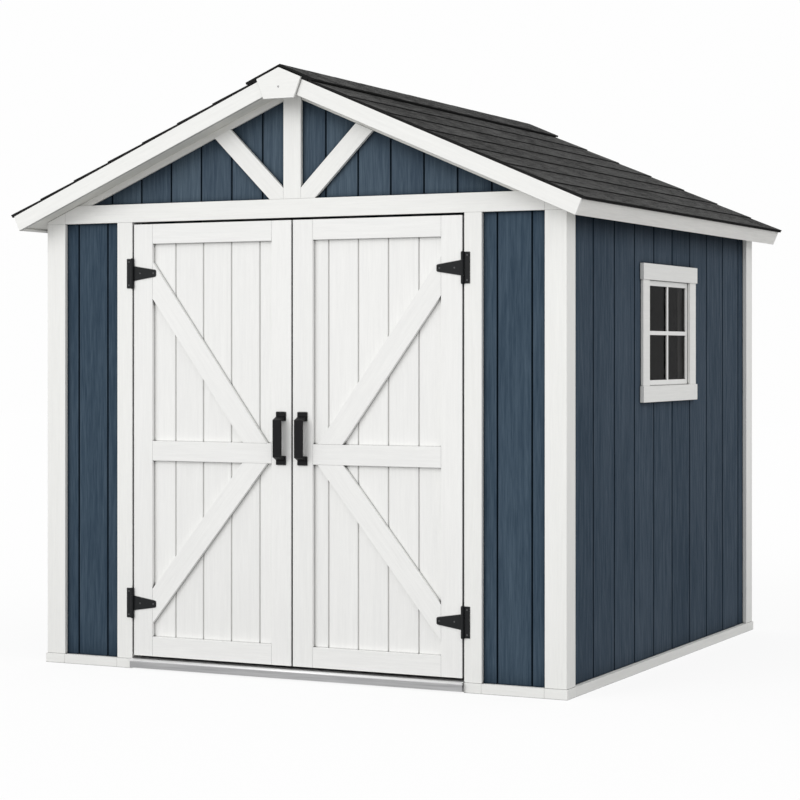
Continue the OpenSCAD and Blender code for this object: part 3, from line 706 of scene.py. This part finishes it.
def closeTree(tree, instances, chance, given, turn=None):
    stored = addNode(tree, "GeometryNodeStoreNamedAttribute", {"Geometry": instances, "Name": "tone",
                     "Value": chance}, data_type="FLOAT", domain="INSTANCE")
    real = addNode(tree, "GeometryNodeRealizeInstances", {"Geometry": stored.outputs[0]}).outputs[0]
    if turn:
        real = addNode(tree, "GeometryNodeTransform", {"Geometry": real, **turn}).outputs[0]
    dressed = addNode(tree, "GeometryNodeSetMaterial", {"Geometry": real, "Material": given["Material"]})
    out = tree.nodes.new("NodeGroupOutput")
    tree.links.new(dressed.outputs[0], out.inputs["Geometry"])


def randomValue(tree, low, high, number, seed):
    return addNode(tree, "FunctionNodeRandomValue", {2: low, 3: high, "ID": number, "Seed": seed},
                   data_type="FLOAT").outputs[1]


def makeCourseTree():
    tree = bpy.data.node_groups.new("shingleCourses", "GeometryNodeTree")
    given = treeInputs(tree, [("Tab", "NodeSocketObject"), ("Courses", "NodeSocketInt"),
                              ("Tabs", "NodeSocketInt"), ("Slope end", "NodeSocketFloat"),
                              ("Eave course", "NodeSocketFloat"), ("Exposure", "NodeSocketFloat"),
                              ("Lap", "NodeSocketFloat"), ("Run", "NodeSocketFloat"),
                              ("Tab length", "NodeSocketFloat"), ("Jitter", "NodeSocketFloat"),
                              ("Gap", "NodeSocketFloat"), ("Raggedness", "NodeSocketFloat"),
                              ("Narrowest", "NodeSocketFloat"), ("Seed", "NodeSocketInt"),
                              ("Turn", "NodeSocketVector"), ("Ridge", "NodeSocketVector"),
                              ("Material", "NodeSocketMaterial")])
    count = maths(tree, "MULTIPLY", given["Courses"], given["Tabs"])
    points = addNode(tree, "GeometryNodePoints", {"Count": count}).outputs[0]
    index = addNode(tree, "GeometryNodeInputIndex").outputs[0]
    course = maths(tree, "FLOOR", maths(tree, "DIVIDE", index, given["Tabs"]))
    place = maths(tree, "SUBTRACT", index, maths(tree, "MULTIPLY", course, given["Tabs"]))
    above = maths(tree, "MAXIMUM", maths(tree, "SUBTRACT", course, 1.0), 0.0)
    isUpper = maths(tree, "MINIMUM", course, 1.0)
    drop = maths(tree, "MULTIPLY_ADD", above, given["Exposure"],
                 maths(tree, "MULTIPLY", isUpper, given["Eave course"]))
    butt = maths(tree, "SUBTRACT", given["Slope end"], drop)
    fullLength = maths(tree, "ADD", given["Exposure"], given["Lap"])
    upperScale = maths(tree, "MINIMUM", maths(tree, "DIVIDE", butt, fullLength), 1.0)
    eaveScale = maths(tree, "DIVIDE", given["Eave course"], given["Exposure"])
    scale = addNode(tree, "ShaderNodeMix", {"Factor": isUpper, "A": eaveScale, "B": upperScale}).outputs[0]

    def jointAt(step):
        after = maths(tree, "ADD", place, step)
        number = maths(tree, "MULTIPLY_ADD", course, 100.0, after)  # its own number for every joint
        wander = randomValue(tree, -1.0, 1.0, number, given["Seed"])
        half = maths(tree, "MULTIPLY", maths(tree, "MODULO", course, 2.0), 0.5)
        base = maths(tree, "ADD", maths(tree, "SUBTRACT", after, 1.0), half)
        spot = maths(tree, "MULTIPLY_ADD", base, given["Tab length"],
                     maths(tree, "MULTIPLY", wander, given["Jitter"]))
        return maths(tree, "MAXIMUM", maths(tree, "MINIMUM", spot, given["Run"]), 0.0), number

    start, number = jointAt(0.0)
    stop, _ = jointAt(1.0)
    width = maths(tree, "SUBTRACT", maths(tree, "SUBTRACT", stop, start), given["Gap"])
    apart = maths(tree, "ADD", number, 7000.0)  # draws unlike those of the joints
    ragged = randomValue(tree, 0.0, given["Raggedness"], apart, given["Seed"])
    spotX = maths(tree, "SUBTRACT", butt, ragged)
    spotY = maths(tree, "SUBTRACT", start, maths(tree, "MULTIPLY", given["Run"], 0.5))
    spot = addNode(tree, "ShaderNodeCombineXYZ", {"X": spotX, "Y": spotY}).outputs[0]
    laid = addNode(tree, "GeometryNodeSetPosition", {"Geometry": points, "Position": spot}).outputs[0]
    size = addNode(tree, "ShaderNodeCombineXYZ", {"X": scale, "Y": width, "Z": 1.0}).outputs[0]
    tabs = addNode(tree, "GeometryNodeObjectInfo", {"Object": given["Tab"]}).outputs["Geometry"]
    wide = maths(tree, "GREATER_THAN", width, given["Narrowest"])
    placed = addNode(tree, "GeometryNodeInstanceOnPoints", {"Points": laid, "Selection": wide,
                     "Instance": tabs, "Scale": size}).outputs[0]
    chance = randomValue(tree, 0.0, 1.0, index, given["Seed"])
    closeTree(tree, placed, chance, given, {"Translation": given["Ridge"], "Rotation": given["Turn"]})
    return tree


def makeCapTree():
    tree = bpy.data.node_groups.new("ridgeCapPieces", "GeometryNodeTree")
    given = treeInputs(tree, [("Piece", "NodeSocketObject"), ("Count", "NodeSocketInt"),
                              ("Length", "NodeSocketFloat"), ("Gap", "NodeSocketFloat"),
                              ("Run", "NodeSocketFloat"), ("Seed", "NodeSocketInt"),
                              ("Material", "NodeSocketMaterial")])
    points = addNode(tree, "GeometryNodePoints", {"Count": given["Count"]}).outputs[0]
    index = addNode(tree, "GeometryNodeInputIndex").outputs[0]
    start = maths(tree, "MULTIPLY_ADD", index, given["Length"], maths(tree, "MULTIPLY", given["Run"], -0.5))
    spot = addNode(tree, "ShaderNodeCombineXYZ", {"Y": start}).outputs[0]
    laid = addNode(tree, "GeometryNodeSetPosition", {"Geometry": points, "Position": spot}).outputs[0]
    reach = maths(tree, "SUBTRACT", given["Length"], given["Gap"])
    size = addNode(tree, "ShaderNodeCombineXYZ", {"X": 1.0, "Y": reach, "Z": 1.0}).outputs[0]
    source = addNode(tree, "GeometryNodeObjectInfo", {"Object": given["Piece"]}).outputs["Geometry"]
    placed = addNode(tree, "GeometryNodeInstanceOnPoints", {"Points": laid, "Instance": source,
                     "Scale": size}).outputs[0]
    chance = randomValue(tree, 0.0, 1.0, index, given["Seed"])
    closeTree(tree, placed, chance, given)
    return tree


def grown(name, tree, values, places=()):
    seed = bpy.data.meshes.new(name + "Seed")
    seed.from_pydata(places, [], [])
    holder = newObject(name, seed)
    modifier = holder.modifiers.new(name, "NODES")
    modifier.node_group = tree
    for item in tree.interface.items_tree:
        if item.in_out == "INPUT" and item.name in values:
            modifier[item.identifier] = values[item.name]
    holder.data = evaluatedMesh(holder, name)
    holder.modifiers.clear()
    return holder


def makeShingles(plan):
    run = sheetHigh.y - sheetLow.y
    reach, lap, butt, head, seat = (plan[key] for key in ("exposure", "lap", "butt", "head", "seat"))
    under = -lap - plan["play"]
    outline = [(0, head + seat), (0, butt - plan["chamfer"]), (-plan["chamferRun"], butt), (-reach, head),
               (-reach - lap, head - seat), (-reach - lap, seat), (under, seat), (under, head + seat)]
    tab = profileSolid("shingleTab", outline, {0, 1}, [1, 1, 1, 0, 0, 0, 0, 0])  # painted light at the butt, painted shade at the head
    tree = makeCourseTree()
    values = {"Tab": tab, "Courses": plan["courses"], "Tabs": math.ceil(run / plan["tab"]) + 2,
              "Slope end": slopeEnd, "Eave course": plan["eaveCourse"], "Exposure": reach, "Lap": lap,
              "Run": run, "Tab length": plan["tab"], "Jitter": plan["jitter"], "Gap": plan["gap"],
              "Raggedness": plan["raggedness"], "Narrowest": plan["narrowest"], "Ridge": (0, 0, ridgeZ),
              "Material": shingleFinish}
    for side, turn in (("right", 0.0), ("left", math.pi)):
        seed = plan["seed"] + (side == "left")
        piece = grown(side + "ShingleTabs", tree, {**values, "Seed": seed, "Turn": (0, pitch, turn)})
        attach(piece, "shed")
        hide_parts(side + "_shingles")
    bpy.data.objects.remove(tab)


def makeStarters(plan):
    inner, outer = slopeEnd - plan["lap"], slopeEnd - plan["setback"]
    outline = [(inner, plan["seat"]), (outer, plan["seat"]), (outer, plan["head"]), (inner, plan["head"])]
    strip = profileSolid("starterStrips", outline, {1, 2}, [1] * 4, sheetHigh.y - sheetLow.y)
    down = Matrix.Translation((0, 0, ridgeZ)) @ Matrix.Rotation(pitch, 4, "Y")
    bm = bmesh.new()
    bm.from_mesh(strip.data)
    bmesh.ops.translate(bm, verts=bm.verts, vec=(0, sheetLow.y, 0))
    bmesh.ops.transform(bm, verts=bm.verts, matrix=down)
    turned = bmesh.ops.duplicate(bm, geom=bm.verts[:] + bm.edges[:] + bm.faces[:])["geom"]
    bmesh.ops.transform(bm, verts=[g for g in turned if isinstance(g, bmesh.types.BMVert)],
                        matrix=Matrix.Rotation(math.pi, 4, "Z"))
    bm.to_mesh(strip.data)
    bm.free()
    strip.data.materials.append(shingleFinish)
    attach(strip, "shed")


def slopePoint(along, above):
    return (along * math.cos(pitch) + above * math.sin(pitch),
            ridgeZ - along * math.sin(pitch) + above * math.cos(pitch))


def makeRidgeCaps(plan, sheet):
    low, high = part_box("ridge_cap")
    thick = (high.z - ridgeZ) * math.cos(pitch) - sheet["butt"]
    half = (high.x - (sheet["butt"] + thick) * math.sin(pitch)) / math.cos(pitch)
    bottom, top = sheet["butt"] + sheet["seat"], sheet["butt"] + thick
    edge = [slopePoint(half, bottom), slopePoint(half, top - plan["chamfer"]),
            slopePoint(half - plan["chamfer"], top)]
    crown, valley = ((0, ridgeZ + height / math.cos(pitch)) for height in (top, bottom))
    outline = [(-x, z) for x, z in edge] + [crown] + edge[::-1] + [valley]
    piece = profileSolid("capPiece", outline, {0, 5}, [plan["wear"]] * len(outline))
    for vertex in piece.data.vertices:
        middleZ = ridgeZ - abs(vertex.co.x) * math.tan(pitch) + (bottom + thick / 2) / math.cos(pitch)
        if vertex.co.y > 0 and vertex.co.z > middleZ:
            vertex.co.z -= plan["step"]  # so that the next piece's edge stands proud
    run = high.y - low.y
    count = round(run / plan["length"])
    values = {"Piece": piece, "Count": count, "Length": run / count, "Gap": plan["gap"], "Run": run,
              "Seed": plan["seed"], "Material": shingleFinish}
    caps = grown("ridgeCapPieces", makeCapTree(), values)
    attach(caps, "shed")
    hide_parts("ridge_cap")
    bpy.data.objects.remove(piece)


makeShingles(shingles)
makeStarters(shingles)
makeRidgeCaps(capPieces, shingles)
print("roof covered")

# screws: two in each jamb leaf, two in each strap and one in the recess of each peak plate
screws = {
    "radius": 0.0038, "height": 0.0014, "sides": 24, "flat": 0.7, "shoulder": 0.93, "shoulderUp": 0.62,
    "slot": 0.0007, "slotReach": 0.0021, "slotDepth": 0.0008, "leafEdge": 0.0115, "leafSpread": 0.05,
    "strapNear": 0.0435, "strapFar": 0.11, "sink": 0.002, "within": 0.001, "sinkWithin": 0.0002, "seed": 3,
}


def makeScrewHead(plan):
    radius, height, slot, reach = (plan[key] for key in ("radius", "height", "slot", "slotReach"))
    sides = plan["sides"]
    bm = bmesh.new()
    cross = []
    for quarter in range(4):
        turn = Matrix.Rotation(quarter * math.pi / 2, 3, "Z")
        for x, y in ((reach, -slot), (reach, slot), (slot, slot)):
            cross.append(bm.verts.new(turn @ Vector((x, y, height))))
    rings = []
    for r, z in ((radius * plan["flat"], height), (radius * plan["shoulder"], height * plan["shoulderUp"]),
                 (radius, 0.0)):
        rings.append([bm.verts.new((r * math.cos(a), r * math.sin(a), z))
                      for a in (i * math.tau / sides for i in range(sides))])
    rims = [bm.edges.new((loop[i - 1], loop[i])) for loop in (cross, rings[0]) for i in range(len(loop))]
    bmesh.ops.triangle_fill(bm, edges=rims, use_beauty=True)
    for face in [f for f in bm.faces if f.calc_center_median().xy.length < slot
                 or all(v in cross for v in f.verts)]:
        bm.faces.remove(face)  # the slot's opening
    low = [bm.verts.new(v.co - Vector((0, 0, plan["slotDepth"]))) for v in cross]
    for upper, lower in ((cross, low), *zip(rings, rings[1:])):
        for i in range(len(upper)):
            bm.faces.new((upper[i - 1], upper[i], lower[i], lower[i - 1]))
    bm.faces.new(low)
    bm.faces.new(rings[-1])
    return newObject("screwHead", closedMesh(bm, "screwHead"))


def makeScrewTree():
    tree = bpy.data.node_groups.new("screwHeads", "GeometryNodeTree")
    given = treeInputs(tree, [("Places", "NodeSocketGeometry"), ("Head", "NodeSocketObject"),
                              ("Seed", "NodeSocketInt"), ("Material", "NodeSocketMaterial")])
    place = addNode(tree, "GeometryNodeInputPosition").outputs[0]
    side = maths(tree, "SIGN", addNode(tree, "ShaderNodeSeparateXYZ", {0: place}).outputs["Y"])
    tip = maths(tree, "MULTIPLY", side, -math.pi / 2)
    outwards = addNode(tree, "ShaderNodeCombineXYZ", {"X": tip}).outputs[0]
    head = addNode(tree, "GeometryNodeObjectInfo", {"Object": given["Head"]}).outputs["Geometry"]
    placed = addNode(tree, "GeometryNodeInstanceOnPoints", {"Points": given["Places"], "Instance": head,
                     "Rotation": outwards}).outputs[0]
    index = addNode(tree, "GeometryNodeInputIndex").outputs[0]
    angle = randomValue(tree, 0.0, math.pi, index, given["Seed"])
    spin = addNode(tree, "ShaderNodeCombineXYZ", {"Z": angle}).outputs[0]
    spun = addNode(tree, "GeometryNodeRotateInstances", {"Instances": placed, "Rotation": spin}).outputs[0]
    closeTree(tree, spun, randomValue(tree, 0.0, 1.0, index, given["Seed"]), given)
    return tree


def islandPoints(node):
    mesh = cleanCopy(node)
    groups = {}
    for vertex, island in zip(mesh.vertices, islandsOf(mesh)):
        groups.setdefault(island, []).append(vertex.co.copy())
    bpy.data.meshes.remove(mesh)
    return list(groups.values())


def middleHeight(points):
    return (min(p.z for p in points) + max(p.z for p in points)) / 2


def leafScrewPlaces(plan):
    places = []
    for points in islandPoints("hinge_leaves"):
        outer = max(points, key=lambda p: abs(p.x))
        face = min(p.y for p in points if abs(p.x - outer.x) < plan["within"])
        middle = middleHeight(points)
        x = outer.x - math.copysign(plan["leafEdge"], outer.x)
        places += [Vector((x, face, middle + side * plan["leafSpread"])) for side in (-1, 1)]
    return places


def strapScrewPlaces(door, plan):
    places = []
    for points in islandPoints(door + "_straps"):
        tip = min(points, key=lambda p: abs(p.x))
        root = max(points, key=lambda p: abs(p.x))
        face = min(p.y for p in points if abs(p.x - tip.x) < plan["within"])
        middle = middleHeight(points)
        for reach in (plan["strapNear"], plan["strapFar"]):
            places.append(Vector((root.x - math.copysign(reach, root.x), face, middle)))
    return places


def plateScrewPlaces(plan):
    places = []
    for points in islandPoints("peak_plates"):
        outer = max(points, key=lambda p: abs(p.y)).y
        recess = [p for p in points if abs(abs(outer) - abs(p.y) - plan["sink"]) < plan["sinkWithin"]]
        places.append(sum(recess, Vector()) / len(recess))
    return places


def makeScrews(plan):
    head = makeScrewHead(plan)
    tree = makeScrewTree()
    jobs = (("leafScrews", "shed", leafScrewPlaces(plan)),
            ("leftStrapScrews", "left_door", strapScrewPlaces("left_door", plan)),
            ("rightStrapScrews", "right_door", strapScrewPlaces("right_door", plan)),
            ("peakScrews", "shed", plateScrewPlaces(plan)))
    for name, body, places in jobs:
        white = name == "peakScrews"
        values = {"Head": head, "Seed": plan["seed"], "Material": plateScrew if white else screwCoat}
        piece = grown(name, tree, values, places)
        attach(piece, body)
    bpy.data.objects.remove(head)


makeScrews(screws)
print("screws set")
